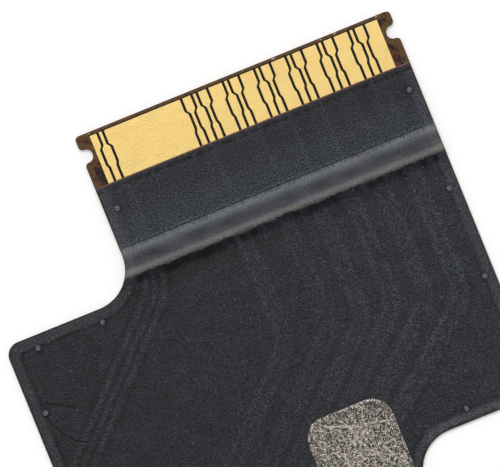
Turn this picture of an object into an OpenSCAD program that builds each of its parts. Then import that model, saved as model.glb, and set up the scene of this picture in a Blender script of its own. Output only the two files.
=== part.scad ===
// Shielded flexible printed circuit jumper with two 0.3 mm pitch contact ends and a stepped outline.
// X runs across the contacts, Y along the cable with +Y at the upper tip, Z up from the surface it lies on.
// "Depth" is a distance back from a tip. Every layer follows the same underside curve, so layers share faces.

/* [Outline] */
// Length from tip to tip
cable_l = 22; // [18.3:0.1:40]
// Width across both shoulders
cable_w = 17.15; // [14.5:0.05:20.6]
// Depth of the upper shoulder behind the upper tip
upper_neck_l = 5.96; // [5.96:0.02:8]
// Depth of the lower shoulder behind the lower tip
lower_neck_l = 7.37; // [6.2:0.01:9]
// Radius of the two outer shoulder corners
corner_r = 0.49; // [0.4:0.01:0.6]
// Radius of the fillets where the necks meet the shoulders
fillet_r = 1.45; // [0.8:0.05:1.75]

/* [Contact ends] */
// Distance between neighbouring contact positions
pitch = 0.3; // [0.25:0.01:0.36]
// Bare gap between neighbouring conductors
gap = 0.1; // [0.08:0.01:0.12]
// Film left beside the outermost contact
side_margin = 0.525; // [0.5:0.005:0.7]
// Radius of the tip's two corners
tip_r = 0.15; // [0.05:0.01:0.3]
// Bare film between the tip and the fingers
finger_setback = 0.15; // [0.05:0.01:0.3]
// Depth at which the fingers first change width
nose_end = 0.63; // [0.5:0.01:0.7]
// Length of each slanted change of width
jog_l = 0.13; // [0.1:0.01:0.2]
// Depth at which the fingers return to an even width
waist_end = 1.33; // [1.1:0.01:1.5]
// Sideways swing of the gaps that makes the fingers broad and narrow in turn
stagger = 0.05; // [0.02:0.005:0.06]
// Depth of the lock notches' centre line
notch_at = 0.77; // [0.6:0.01:0.9]
// Width of the lock notches
notch_w = 0.48; // [0.3:0.01:0.6]
// How far the lock notches reach in from the side
notch_in = 0.39; // [0.3:0.01:0.42]
// Radius of the lock notches' mouths
notch_mouth_r = 0.15; // [0.05:0.01:0.18]

/* [Films] */
// Thickness of the base film
base_t = 0.025; // [0.015:0.005:0.05]
// Thickness of each copper layer
copper_t = 0.02; // [0.01:0.005:0.03]
// Thickness of each coverlay over the copper
coverlay_t = 0.03; // [0.02:0.005:0.05]
// Thickness of each shielding film
shield_t = 0.02; // [0.01:0.005:0.03]
// Depth at which the front coverlay starts and the gold ends
coverlay_start = 1.963; // [1.8:0.001:2.4]
// Strip of coverlay left bare in front of the shielding film
coverlay_lip = 0.05; // [0.02:0.01:0.2]
// Margin between the outline and the rear shielding film
shield_margin = 0.16; // [0.1:0.01:0.3]
// Margin between the outline and the rear ground plane
plane_margin = 0.22; // [0.15:0.01:0.3]
// Margin between the outline and the outer edges of the front copper
pour_margin = 0.4; // [0.3:0.01:0.45]

/* [Stiffened bands] */
// Thickness of the stiffeners
stiffener_t = 0.1; // [0.05:0.01:0.2]
// Length of the stiffeners from the tip
stiffener_l = 5.3; // [4.4:0.01:5.3]
// How far the rear shielding film reaches over the stiffener
overlap_l = 0.97; // [0.85:0.01:1.15]
// Length over which the flex climbs onto the rear shielding film
climb_l = 0.22; // [0.1:0.01:0.4]
// Height of the bead of bonding adhesive along the stiffener's back edge
bead_h = 0.03; // [0.01:0.005:0.05]
// Length over which the flex climbs onto that bead
bead_l = 0.26; // [0.1:0.01:0.4]
// Length over which the flex comes down from the stiffener to the floor
descent_l = 0.65; // [0.4:0.01:0.65]

/* [Conductor routes] */
// Bend angle of the left conductors, below horizontal
left_slant = 45; // [40:1:48]
// Distance between the right conductors' lower bends and the lower shoulder
bend_clearance = 0.2; // [0.1:0.05:0.5]

/* [Ground pad and vias] */
// Width of the conductive fibre pad
pad_w = 3.22; // [2:0.02:4]
// Thickness of the conductive fibre pad
pad_t = 0.1; // [0.05:0.01:0.3]
// Corner radius of the conductive fibre pad
pad_r = 0.8; // [0.3:0.05:0.95]
// Gap between the pad's right side and the line of the lower neck's right edge
pad_inset = 0.13; // [0.1:0.01:1]
// How far the pad's upper edge stands above the lower shoulder
pad_rise = 2.13; // [2:0.01:3]
// Clear length between the pad's lower edge and the foot of the lower band
pad_clearance = 0.15; // [0.05:0.01:0.4]
// Radius of a via's plated barrel
via_r = 0.08; // [0.05:0.01:0.1]
// Radius of the copper land round a via
via_land_r = 0.16; // [0.12:0.01:0.2]
// Radius of the bump that a via raises in the front film
bump_r = 0.11; // [0.1:0.01:0.15]
// Height of that bump
bump_h = 0.035; // [0.02:0.005:0.05]
// Distance from the left edges and the shoulders to their vias
via_margin = 0.48; // [0.45:0.01:0.55]
// Distance from the right edges to their vias
right_via_margin = 0.39; // [0.36:0.01:0.5]
// Depth of the two vias on each contact end
end_via_at = 2.9; // [2.4:0.05:3]
// Distance from the left edge to the first via along the upper shoulder
shoulder_via_at = 1.095; // [0.9:0.005:1.3]
// Distance from there to the second via along the upper shoulder
shoulder_via_step = 2.47; // [1.5:0.01:2.6]
// Distance below the upper shoulder of the via at the left edge
left_via_drop = 2.72; // [1:0.01:2.8]
// Distance below the upper shoulder of the first via at the right edge
right_via_drop = 0.72; // [0.5:0.01:2]
// Distance from there to the second via at the right edge
right_via_step = 3.36; // [2.5:0.01:4]
// Distance from the right edge to the via along the lower shoulder
foot_via_at = 2.765; // [1.8:0.005:3]

/* [Hidden] */
$fn = 64;
// First and last contact position of each conductor
CONDUCTORS = [
    [1, 1], [2, 2], [3, 12], [13, 13], [14, 14], [15, 17], [18, 18],
    [19, 19], [20, 21], [22, 22], [23, 23], [24, 25], [26, 26], [27, 27],
    [28, 29], [30, 30], [31, 31], [32, 33], [34, 34], [35, 35], [36, 37]
];
// Position whose finger is parted by a slot from the rest of its conductor
SLOTTED_AFTER = 15;
// Slant of the right conductors, below horizontal, by contact position
RIGHT_SLANTS = [[12, 44], [28, 43], [33, 39.5], [37, 37.5]];
// Lines up to this one bend at the upper shoulder, and later ones at the lower shoulder
LAST_LEFT_LINE = 2;
// Taller than the whole stack of layers
TALL = 2;
// How far a cut starts outside the edge that it cuts
OVERSHOOT = 0.3;
// Straight stretches in the profile of a climb and of a descent
CLIMB_STEPS = 2;
DESCENT_STEPS = 6;

positions = 37;
tab_w = positions * pitch - gap + 2 * side_margin;
side_shift = cable_w - tab_w;
tab_x = side_shift / 2;
upper_shoulder = cable_l / 2 - upper_neck_l;
lower_shoulder = lower_neck_l - cable_l / 2;
slot_end = coverlay_start + 2 * jog_l;
band_start = stiffener_l - overlap_l;
band_foot = stiffener_l + descent_l;

// Heights of the layers above the flex's underside
plane_z = coverlay_t;
base_z = plane_z + copper_t;
track_z = base_z + base_t;
cover_z = track_z + copper_t;
shield_z = cover_z + coverlay_t;
top_z = shield_z + shield_t;

function eased(t) = let (c = min(max(t, 0), 1)) c * c * (3 - 2 * c);
// A descent is steepest near its start, so its parameter is bent before it is eased
function early(t) = let (c = min(max(t, 0), 1)) 1 - (1 - c) * (1 - c);

function reversed(list) = [for (i = [len(list) - 1 : -1 : 0]) list[i]];

// Depth behind the nearer tip
function depth(y) = cable_l / 2 - abs(y);
function shield_wedge(d) = shield_t * eased((d - band_start) / climb_l);
function bead(d) = bead_h * eased((d - stiffener_l + bead_l) / bead_l);
function descent(d) = eased(early((d - stiffener_l) / descent_l));
function stiffener_top(d) = stiffener_t + bead(d);
// Underside of the rear coverlay, and underside of the rear shielding film
function flex_under(d) = shield_wedge(d) + stiffener_top(d) * (1 - descent(d));
function shield_under(d) = flex_under(d) - shield_wedge(d);

// Depths at which the side profiles have a corner
STATIONS = [
    for (i = [0 : CLIMB_STEPS]) band_start + climb_l * i / CLIMB_STEPS,
    for (i = [0 : CLIMB_STEPS]) stiffener_l - bead_l + bead_l * i / CLIMB_STEPS,
    for (i = [1 : DESCENT_STEPS]) stiffener_l + descent_l * i / DESCENT_STEPS
];

// Y of every profile corner between two ends, from the lower end to the upper one
function corners(y0, y1) = concat(
    [y0],
    [for (d = STATIONS) if (d - cable_l / 2 > y0 && d - cable_l / 2 < y1) d - cable_l / 2],
    [for (d = reversed(STATIONS)) if (cable_l / 2 - d > y0 && cable_l / 2 - d < y1) cable_l / 2 - d],
    [y1]
);

// A flat pattern given its thickness between two surfaces, over a stretch of Y
module between(y0, y1, under, over) {
    ys = corners(y0, y1);
    side = concat(
        [for (y = ys) [y, under(depth(y))]],
        [for (y = reversed(ys)) if (over(depth(y)) > under(depth(y))) [y, over(depth(y))]]
    );
    intersection() {
        linear_extrude(height = TALL, center = true)
            children();
        rotate([90, 0, 90])
            linear_extrude(height = 2 * cable_w, center = true)
                polygon(side);
    }
}

// A flat pattern turned into a film that follows the flex, between two heights above its underside
module film(low, high, reach = cable_l) {
    between(-reach, reach, function (d) flex_under(d) + low, function (d) flex_under(d) + high)
        children();
}

// Outline of the cable, with every edge moved inwards by one margin
module outline(margin = 0) {
    half_l = cable_l / 2 - margin;
    half_w = cable_w / 2 - margin;
    outer_r = max(corner_r - margin, 0);
    inner_r = fillet_r + margin;
    neck_x = tab_w - cable_w / 2 - margin;
    top = upper_shoulder - margin;
    bottom = lower_shoulder + margin;

    difference() {
        union() {
            shoulder_block(half_w, bottom, top, outer_r);
            neck(-neck_x, half_w, top - inner_r, half_l, tip_r - margin);
            rotate(180)
                neck(-neck_x, half_w, -bottom - inner_r, half_l, tip_r - margin);
            fillet(-neck_x, top, inner_r);
            rotate(180)
                fillet(-neck_x, -bottom, inner_r);
        }
        for (side = [0, 1])
            rotate(180 * side)
                for (edge = [-1, 1])
                    translate([tab_x + edge * tab_w / 2, cable_l / 2 - notch_at])
                        rotate(90 + 90 * edge)
                            notch(margin);
    }
}

// Block between the shoulders, rounded at its upper left and lower right corners
module shoulder_block(half_w, bottom, top, r) {
    height = top - bottom;
    translate([-half_w, bottom])
        square([2 * half_w - r, height - r]);
    translate([-half_w + r, bottom + r])
        square([2 * half_w - r, height - r]);
    if (r > 0)
        for (centre = [[-half_w + r, top - r], [half_w - r, bottom + r]])
            translate(centre)
                circle(r);
}

// Strip that ends in a tip with two rounded corners
module neck(x0, x1, y0, y1, r) {
    corner = max(r, 0);
    translate([x0, y0])
        square([x1 - x0, y1 - corner - y0]);
    if (corner > 0) {
        translate([x0 + corner, y1 - 2 * corner])
            square([x1 - x0 - 2 * corner, 2 * corner]);
        for (x = [x0 + corner, x1 - corner])
            translate([x, y1 - corner])
                circle(corner);
    }
}

// Filling of the inner corner at x, y, to its left and above it
module fillet(x, y, r) {
    difference() {
        translate([x - r, y - r])
            square([2 * r, 2 * r]);
        translate([x - r, y + r])
            circle(r);
    }
}

// Slot that reaches inwards along +X from a side edge at the origin, with a round end and mouth
module notch(margin) {
    w = notch_w + 2 * margin;
    mouth = max(notch_mouth_r - margin, 0);
    straight = notch_in - notch_w / 2;
    translate([-OVERSHOOT, -w / 2])
        square([OVERSHOOT + straight, w]);
    translate([straight, 0])
        circle(w / 2);
    if (mouth > 0)
        difference() {
            translate([-OVERSHOOT, -w / 2 - mouth])
                square([OVERSHOOT + margin + mouth, w + 2 * mouth]);
            for (side = [-1, 1])
                translate([margin + mouth, side * (w / 2 + mouth)])
                    circle(mouth);
        }
}

// The line between contact positions k and k + 1, moved sideways by an offset
function line_x(k) = tab_x + (k - positions / 2) * pitch;
function slant(k) = k <= LAST_LEFT_LINE ? left_slant : lookup(k, RIGHT_SLANTS);
function drop(k) = side_shift * tan(slant(k));
function upper_bend(k) = k <= LAST_LEFT_LINE
    ? upper_shoulder - k * pitch * tan((90 - left_slant) / 2)
    : lower_shoulder + bend_clearance + drop(k);
function line_y(k, x) = upper_bend(k) - (line_x(k) - x) * tan(slant(k));
function swing(k) = k == 0 || k == positions ? 0 : (k % 2 == 1 ? stagger : -stagger);

// Corners of that line on one contact end, from its tip backwards, as [sideways swing, depth]
function finger_points(k) = [
    [swing(k), finger_setback],
    [swing(k), nose_end],
    [-swing(k), nose_end + jog_l],
    [-swing(k), waist_end],
    [0, waist_end + jog_l]
];

// The line's two bends, mitred so that the offset stays even on the slant
function bends(k, offset) = let (
    x = line_x(k) + offset,
    y = upper_bend(k) - offset * tan((90 - slant(k)) / 2)
) [[x, y], [x - side_shift, y - drop(k)]];

// Corners of the whole line from the upper tip to the lower one
function line_points(k, offset) = let (x = line_x(k) + offset) concat(
    [for (p = finger_points(k)) [x + p[0], cable_l / 2 - p[1]]],
    bends(k, offset),
    [for (p = reversed(finger_points(k))) [x - side_shift + p[0], p[1] - cable_l / 2]]
);

// Where the vias stand, as [x, y]
function end_via(side, edge) = [
    side * tab_x + edge * tab_w / 2 + (edge < 0 ? via_margin : -right_via_margin),
    side * (cable_l / 2 - end_via_at)
];
LEFT_END_VIAS = [end_via(1, -1), end_via(-1, -1)];
RIGHT_END_VIAS = [end_via(1, 1), end_via(-1, 1)];

// Where the cable is narrow, the vias beside the slanted conductors keep clear of them
near_neck = side_shift - cable_w / 2 - fillet_r / 2;
left_via_foot = line_y(0, -cable_w / 2 + via_margin) + (via_land_r + gap) / cos(left_slant);
LEFT_POUR_VIAS = [
    [-cable_w / 2 + shoulder_via_at, upper_shoulder - via_margin],
    [
        min(-cable_w / 2 + shoulder_via_at + shoulder_via_step, near_neck),
        upper_shoulder - via_margin
    ],
    [-cable_w / 2 + via_margin, max(upper_shoulder - left_via_drop, left_via_foot)]
];
RIGHT_POUR_VIAS = [
    [cable_w / 2 - right_via_margin, upper_shoulder - right_via_drop],
    [cable_w / 2 - right_via_margin, upper_shoulder - right_via_drop - right_via_step],
    [max(cable_w / 2 - foot_via_at, -near_neck), lower_shoulder + via_margin]
];
VIAS = concat(LEFT_END_VIAS, RIGHT_END_VIAS, LEFT_POUR_VIAS, RIGHT_POUR_VIAS);

module at_each(points) {
    for (p = points)
        translate(p)
            children();
}

// Flat pattern of one conductor
module conductor_plan(i) {
    first = CONDUCTORS[i][0];
    last = CONDUCTORS[i][1];
    difference() {
        union() {
            polygon(concat(line_points(first - 1, gap / 2), reversed(line_points(last, -gap / 2))));
            if (first == 1)
                at_each(LEFT_END_VIAS)
                    circle(via_land_r);
            if (last == positions)
                right_pour_plan();
        }
        if (first <= SLOTTED_AFTER && last > SLOTTED_AFTER)
            finger_slots(SLOTTED_AFTER);
    }
}

// The last conductor widens to the right edge behind the upper fingers
module right_pour_plan() {
    at_each(concat(RIGHT_END_VIAS, RIGHT_POUR_VIAS))
        circle(via_land_r);
    intersection() {
        outline(pour_margin);
        polygon(concat(
            [[line_x(positions - 1), cable_l / 2 - slot_end]],
            bends(positions - 1, 0),
            [[bends(positions - 1, 0)[1][0], lower_shoulder - fillet_r / 2]],
            [[cable_w / 2, lower_shoulder - fillet_r / 2], [cable_w / 2, cable_l / 2 - slot_end]]
        ));
    }
}

// The slots that part two neighbouring fingers of one conductor on both ends
module finger_slots(k) {
    difference() {
        polygon(concat(line_points(k, -gap / 2), reversed(line_points(k, gap / 2))));
        square([2 * cable_w, cable_l - 2 * slot_end], center = true);
    }
}

// Copper between the left shoulder's edge and the first conductor
module ground_pour_plan() {
    line = bends(0, -gap / 2);
    top = upper_shoulder + fillet_r / 2;
    at_each(LEFT_POUR_VIAS)
        circle(via_land_r);
    intersection() {
        outline(pour_margin);
        polygon([
            [line[0][0], top], line[0], line[1], [-cable_w, line[1][1]], [-cable_w, top]
        ]);
    }
}

module base_film() {
    color("saddlebrown")
        difference() {
            film(base_z, track_z)
                outline();
            at_each(VIAS)
                cylinder(r = via_r, h = TALL);
        }
}

module conductor(i) {
    color("goldenrod")
        film(track_z, cover_z)
            conductor_plan(i);
}

module ground_pour() {
    color("peru")
        film(track_z, cover_z)
            ground_pour_plan();
}

module ground_vias() {
    color("peru")
        for (p = VIAS)
            translate([p[0], p[1], flex_under(depth(p[1])) + base_z])
                cylinder(r = via_r, h = base_t);
}

module rear_ground_plane() {
    color("peru")
        film(plane_z, base_z)
            outline(plane_margin);
}

// Coverlay over the front copper, which also fills the gaps between the conductors
module front_coverlay() {
    reach = cable_l / 2 - coverlay_start;
    color("rosybrown") {
        film(track_z, cover_z, reach)
            difference() {
                outline();
                for (i = [0 : len(CONDUCTORS) - 1])
                    conductor_plan(i);
                ground_pour_plan();
            }
        film(cover_z, shield_z, reach)
            outline();
    }
}

module front_shield_film() {
    reach = cable_l / 2 - coverlay_start - coverlay_lip;
    color("dimgray") {
        film(shield_z, top_z, reach)
            outline();
        for (p = VIAS)
            translate([p[0], p[1], flex_under(depth(p[1])) + top_z])
                bump();
    }
}

// Low cap of a sphere
module bump() {
    ball_r = (bump_r * bump_r + bump_h * bump_h) / (2 * bump_h);
    intersection() {
        translate([0, 0, bump_h - ball_r])
            sphere(ball_r);
        translate([0, 0, -shield_t / 2])
            cylinder(r = 2 * bump_r, h = TALL);
    }
}

// Coverlay under the rear ground plane, which also closes the margin round that plane
module rear_coverlay() {
    color("rosybrown") {
        film(0, plane_z)
            outline();
        film(plane_z, base_z)
            difference() {
                outline();
                outline(plane_margin);
            }
    }
}

module rear_shield_film() {
    reach = cable_l / 2 - band_start;
    color("dimgray")
        between(-reach, reach, function (d) shield_under(d), function (d) flex_under(d))
            outline(shield_margin);
}

// Stiffener under the stretch between two values of Y, with its bead of bonding adhesive
module stiffener(y0, y1) {
    color("chocolate")
        between(y0, y1, function (d) 0, function (d) shield_under(d))
            outline();
}

module upper_stiffener() {
    stiffener(cable_l / 2 - stiffener_l, cable_l / 2 + TALL);
}

module lower_stiffener() {
    stiffener(-cable_l / 2 - TALL, stiffener_l - cable_l / 2);
}

module ground_pad() {
    right = tab_w - cable_w / 2 - pad_inset;
    top = lower_shoulder + pad_rise;
    pad_l = top + cable_l / 2 - band_foot - pad_clearance;
    color("darkgray")
        translate([right - pad_w, top - pad_l, flex_under(cable_l / 2) + top_z])
            linear_extrude(height = pad_t) {
                translate([pad_r, 0])
                    square([pad_w - 2 * pad_r, pad_l]);
                translate([0, pad_r])
                    square([pad_w, pad_l - 2 * pad_r]);
                for (x = [pad_r, pad_w - pad_r])
                    for (y = [pad_r, pad_l - pad_r])
                        translate([x, y])
                            circle(pad_r);
            }
}

function conductor_name(i) = str("conductor_", i < 9 ? "0" : "", i + 1);

base_film();
ground_pour();
ground_vias();
rear_ground_plane();
front_coverlay();
front_shield_film();
rear_coverlay();
rear_shield_film();
upper_stiffener();
lower_stiffener();
ground_pad();
for (i = [0 : len(CONDUCTORS) - 1])
    conductor(i);
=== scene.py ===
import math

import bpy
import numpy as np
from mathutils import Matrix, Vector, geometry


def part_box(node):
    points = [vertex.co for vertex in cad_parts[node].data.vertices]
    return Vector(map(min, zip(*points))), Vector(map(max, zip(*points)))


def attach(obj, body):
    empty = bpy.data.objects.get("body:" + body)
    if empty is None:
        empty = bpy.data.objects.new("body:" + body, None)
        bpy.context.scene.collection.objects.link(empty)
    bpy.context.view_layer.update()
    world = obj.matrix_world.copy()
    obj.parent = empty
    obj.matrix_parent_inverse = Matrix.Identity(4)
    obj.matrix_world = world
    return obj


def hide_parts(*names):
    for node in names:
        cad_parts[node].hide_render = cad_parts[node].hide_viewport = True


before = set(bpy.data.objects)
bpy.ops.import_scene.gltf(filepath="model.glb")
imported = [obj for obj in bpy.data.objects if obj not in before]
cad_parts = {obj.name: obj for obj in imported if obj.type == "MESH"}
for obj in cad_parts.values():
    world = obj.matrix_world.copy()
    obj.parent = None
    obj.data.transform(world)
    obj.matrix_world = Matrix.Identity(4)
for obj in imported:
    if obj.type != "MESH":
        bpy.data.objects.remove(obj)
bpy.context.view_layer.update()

# Looks of a shielded flexible printed circuit jumper. Sizes are in millimetres until a mesh is made.
# X runs across the contacts, Y along the cable with +Y at the upper tip, and Z up from the floor.
# "Depth" is a distance back from the nearer tip, as in the model's own source.

MM = 0.001
RNG = np.random.default_rng(7)

# ---------------------------------------------------------------- the cable's own sizes


def node_box(name):
    """Lowest and highest corner of a CAD node, in millimetres."""
    low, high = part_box(name)
    return np.array(low) / MM, np.array(high) / MM


BODY_HIGH = node_box("base_film")[1]
FILM_HIGH = node_box("front_shield_film")[1]
STIFFENER_LOW = node_box("upper_stiffener")[0]
PAD_LOW, PAD_HIGH = node_box("ground_pad")

HALF_L = BODY_HIGH[1]
HALF_W = BODY_HIGH[0]
NECK_W = 12.05                        # width of both necks
NECK = NECK_W - HALF_W                # sideways reach of the upper neck's left edge
NECK_X = (HALF_W - NECK) / 2
FILM_REACH = FILM_HIGH[1]
FILM_DEPTH = HALF_L - FILM_REACH
UPPER_SHOULDER = 5.04                 # where the body's left part ends, along Y
LOWER_SHOULDER = -3.63                # where its right part ends
CORNER_R = 0.49
FILLET_R = 1.45

STIFFENER_T = 0.1
STIFFENER_L = HALF_L - STIFFENER_LOW[1]
BAND_START = 4.33                     # depth at which the flex climbs onto the rear film
CLIMB_L = 0.22
BEAD_H = 0.03                         # bead at the stiffener's back edge
BEAD_L = 0.26
DESCENT_L = 0.65                      # from the stiffener's edge down to the floor
SHIELD_T = 0.02
TOP_Z = PAD_LOW[2] - SHIELD_T         # height of the front film's top above the flex's underside

PITCH = 0.3
POSITIONS = 37                        # contact positions across an end
SIDE_SHIFT = HALF_W - NECK            # how far left the lower end's contacts are
BEND_CLEARANCE = 0.2                  # lowest bend above the lower shoulder
LAST_LEFT_LINE = 2                    # contact positions up to this one bend at the upper shoulder
LEFT_SLANT = 45
RIGHT_SLANTS = ((12, 44), (28, 43), (33, 39.5), (37, 37.5))       # contact position and slant
BEND_R = 1.4                          # the traces' bends are rounded this much in the relief
BEND_STEPS = 7
TOP_SHIFT = 0.08                      # how far left of their contacts the right groups start
# Middles of the narrow conductors' groups, in contact positions, and how strongly each shows
GROUPS = {0.95: 1.0, 12.9: 0.9, 18.35: 0.6, 22.5: 0.9, 26.4: 0.9, 30.3: 0.9, 34.35: 1.1}
VIA_MARGIN = 0.48                     # from a via's middle to the cable's edge
RIGHT_VIA_MARGIN = 0.39
END_VIA_AT = 2.9                      # depth of the vias beside the contacts
TOP_VIA_AT = 1.095                    # first via of the upper shoulder, from the left edge
TOP_VIA_GAP = 2.47
LEFT_VIA_AT = 2.72                    # via of the left edge, below the upper shoulder
RIGHT_VIA_AT = 0.72                   # first via of the right edge, below the upper shoulder
RIGHT_VIA_GAP = 3.36
LOWER_VIA_AT = 2.765                  # via of the lower shoulder, from the right edge


def vias():
    """Places of the vias, which raise a bump in the front film."""
    ends = [
        (side * NECK_X + edge * NECK_W / 2 + (VIA_MARGIN if edge < 0 else -RIGHT_VIA_MARGIN),
         side * (HALF_L - END_VIA_AT))
        for side in (1, -1) for edge in (-1, 1)
    ]
    first = -HALF_W + TOP_VIA_AT
    right = HALF_W - RIGHT_VIA_MARGIN
    return np.array(ends + [
        (first, UPPER_SHOULDER - VIA_MARGIN),
        (first + TOP_VIA_GAP, UPPER_SHOULDER - VIA_MARGIN),
        (-HALF_W + VIA_MARGIN, UPPER_SHOULDER - LEFT_VIA_AT),
        (right, UPPER_SHOULDER - RIGHT_VIA_AT),
        (right, UPPER_SHOULDER - RIGHT_VIA_AT - RIGHT_VIA_GAP),
        (HALF_W - LOWER_VIA_AT, LOWER_SHOULDER + VIA_MARGIN),
    ])


VIAS = vias()


def eased(t):
    """0 below 0 and 1 above 1, with a smooth step between them."""
    t = np.clip(t, 0, 1)
    return t * t * (3 - 2 * t)


def depth(y):
    """Distance back from the nearer tip."""
    return HALF_L - np.abs(y)


def flex_under(d):
    """Height of the flex's underside: flat on the stiffener, up over its bead and down to the floor."""
    wedge = SHIELD_T * eased((d - BAND_START) / CLIMB_L)
    bead = BEAD_H * eased((d - STIFFENER_L + BEAD_L) / BEAD_L)
    t = np.clip((d - STIFFENER_L) / DESCENT_L, 0, 1)
    return wedge + (STIFFENER_T + bead) * (1 - eased(1 - (1 - t) ** 2))


def softened(path, radius):
    """A path whose corners are turned into near-round bends of a radius."""
    points = [path[0]]
    for a, b, c in zip(path, path[1:], path[2:]):
        before, after = (b - a) / np.hypot(*(b - a)), (c - b) / np.hypot(*(c - b))
        reach = radius * math.tan(math.acos(before @ after) / 2)
        t = np.linspace(0, 1, BEND_STEPS)[:, None]
        start, end = b - before * reach, b + after * reach
        points += list((1 - t) ** 2 * start + 2 * t * (1 - t) * b + t ** 2 * end)
    return np.array(points + [path[-1]])


def trace_route(k):
    """The way of the conductor at contact position k, from the upper tip to the lower one."""
    x = NECK_X + (k - POSITIONS / 2) * PITCH
    left = k <= LAST_LEFT_LINE
    slant = math.radians(LEFT_SLANT if left else np.interp(k, *zip(*RIGHT_SLANTS)))
    drop = SIDE_SHIFT * math.tan(slant)
    if left:
        bend = UPPER_SHOULDER - k * PITCH * math.tan((math.pi / 2 - slant) / 2)
    else:
        bend = LOWER_SHOULDER + BEND_CLEARANCE + drop
    top = x - (0 if left else TOP_SHIFT)
    top_bend = bend - (x - top) * math.tan(slant)
    corners = [(top, HALF_L), (top, top_bend), (x - SIDE_SHIFT, bend - drop), (x - SIDE_SHIFT, -HALF_L)]
    return softened(np.array(corners), BEND_R)


# ---------------------------------------------------------------- plan geometry


def distance_to(points, path, closed=False):
    """Distance from each point to the nearest place on a path."""
    ends = np.roll(path, -1, axis=0) if closed else path[1:]
    best = np.full(len(points), np.inf)
    for a, b in zip(path, ends):
        along = b - a
        t = np.clip((points - a) @ along / (along @ along), 0, 1)
        best = np.minimum(best, np.hypot(*(points - a - t[:, None] * along).T))
    return best


def inside(points, path):
    """Whether each point lies inside a closed path."""
    odd = np.zeros(len(points), bool)
    x, y = points.T
    for (ax, ay), (bx, by) in zip(path, np.roll(path, -1, axis=0)):
        if ay != by:
            odd ^= ((ay > y) != (by > y)) & (x < (bx - ax) * (y - ay) / (by - ay) + ax)
    return odd


def rounded(corners, step):
    """Closed path through square corners (x, y, radius), cut into steps."""
    places = np.array([c[:2] for c in corners], float)
    path = []
    for i, (x, y, r) in enumerate(corners):
        here = places[i]
        to_last, to_next = places[i - 1] - here, places[(i + 1) % len(corners)] - here
        to_last, to_next = to_last / np.hypot(*to_last), to_next / np.hypot(*to_next)
        if r <= 0:
            path.append(here)
            continue
        centre = here + r * (to_last + to_next)
        for t in np.linspace(0, math.pi / 2, max(3, int(r * 1.6 / step))):
            path.append(centre - r * (to_next * math.cos(t) + to_last * math.sin(t)))
    dense = []
    for a, b in zip(path, path[1:] + path[:1]):
        n = max(1, round(np.hypot(*(b - a)) / step))
        dense += [a + (b - a) * i / n for i in range(n)]
    return np.array(dense)


def cable_outline(inset, reach, step):
    """Outline of the cable up to a reach along Y, with its edges moved inwards."""
    out_r, in_r = max(CORNER_R - inset, 0), FILLET_R + inset
    w, n = HALF_W - inset, NECK - inset
    up, low = UPPER_SHOULDER - inset, LOWER_SHOULDER + inset
    return rounded([
        (w, reach, 0), (-n, reach, 0), (-n, up, in_r), (-w, up, out_r),
        (-w, -reach, 0), (n, -reach, 0), (n, low, in_r), (w, low, out_r)
    ], step)


# ---------------------------------------------------------------- meshes


def triangulate(outline, points):
    """Triangles over an outline and the points inside it, with each outline point's place in the result."""
    n = len(outline)
    pairs = [(i, (i + 1) % n) for i in range(n)]
    everything = [Vector(p) for p in np.concatenate([outline, points])]
    plan, _, faces, origins, _, _ = geometry.delaunay_2d_cdt(everything, pairs, [], 1, 1e-7)
    rim = {origin: i for i, found in enumerate(origins) for origin in found if origin < n}
    return np.array([p[:] for p in plan]), [list(f) for f in faces], [rim[i] for i in range(n)]


def sheet_mesh(name, outline, points, top, under, under_points):
    """Closed sheet with a smooth top and square sides.
    top(plan) gives heights and {attribute: values}, and under(plan) gives heights."""
    plan, faces, rim = triangulate(outline, points)
    low_plan, low_faces, low_rim = triangulate(outline, under_points)
    heights, attributes = top(plan)
    base = len(plan)
    vertices = np.concatenate([
        np.column_stack([plan, heights]),
        np.column_stack([low_plan, under(low_plan)])
    ])
    n = len(rim)
    sides = [
        [rim[i], low_rim[i] + base, low_rim[(i + 1) % n] + base, rim[(i + 1) % n]] for i in range(n)
    ]
    lower = [[i + base for i in reversed(f)] for f in low_faces]
    mesh = bpy.data.meshes.new(name)
    mesh.from_pydata((vertices * MM).tolist(), [], faces + sides + lower)
    smooth = np.zeros(len(mesh.polygons), bool)
    smooth[:len(faces)] = True
    mesh.polygons.foreach_set("use_smooth", smooth)
    for key, values in attributes.items():
        attribute = mesh.attributes.new(key, "FLOAT", "POINT")
        attribute.data.foreach_set("value", np.resize(values, len(vertices)).astype(np.float32))
    mesh.update()
    return mesh


def place(mesh, name, material, slot, *nodes):
    """A piece on the cable's one body, which stands for CAD nodes and takes a material. The slot is not
    used.
    """
    piece = bpy.data.objects.new(name, mesh)
    bpy.context.scene.collection.objects.link(piece)
    mesh.materials.clear()
    mesh.materials.append(material)
    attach(piece, "root")
    if nodes:
        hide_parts(*nodes)
    return piece


# ---------------------------------------------------------------- materials


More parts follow.
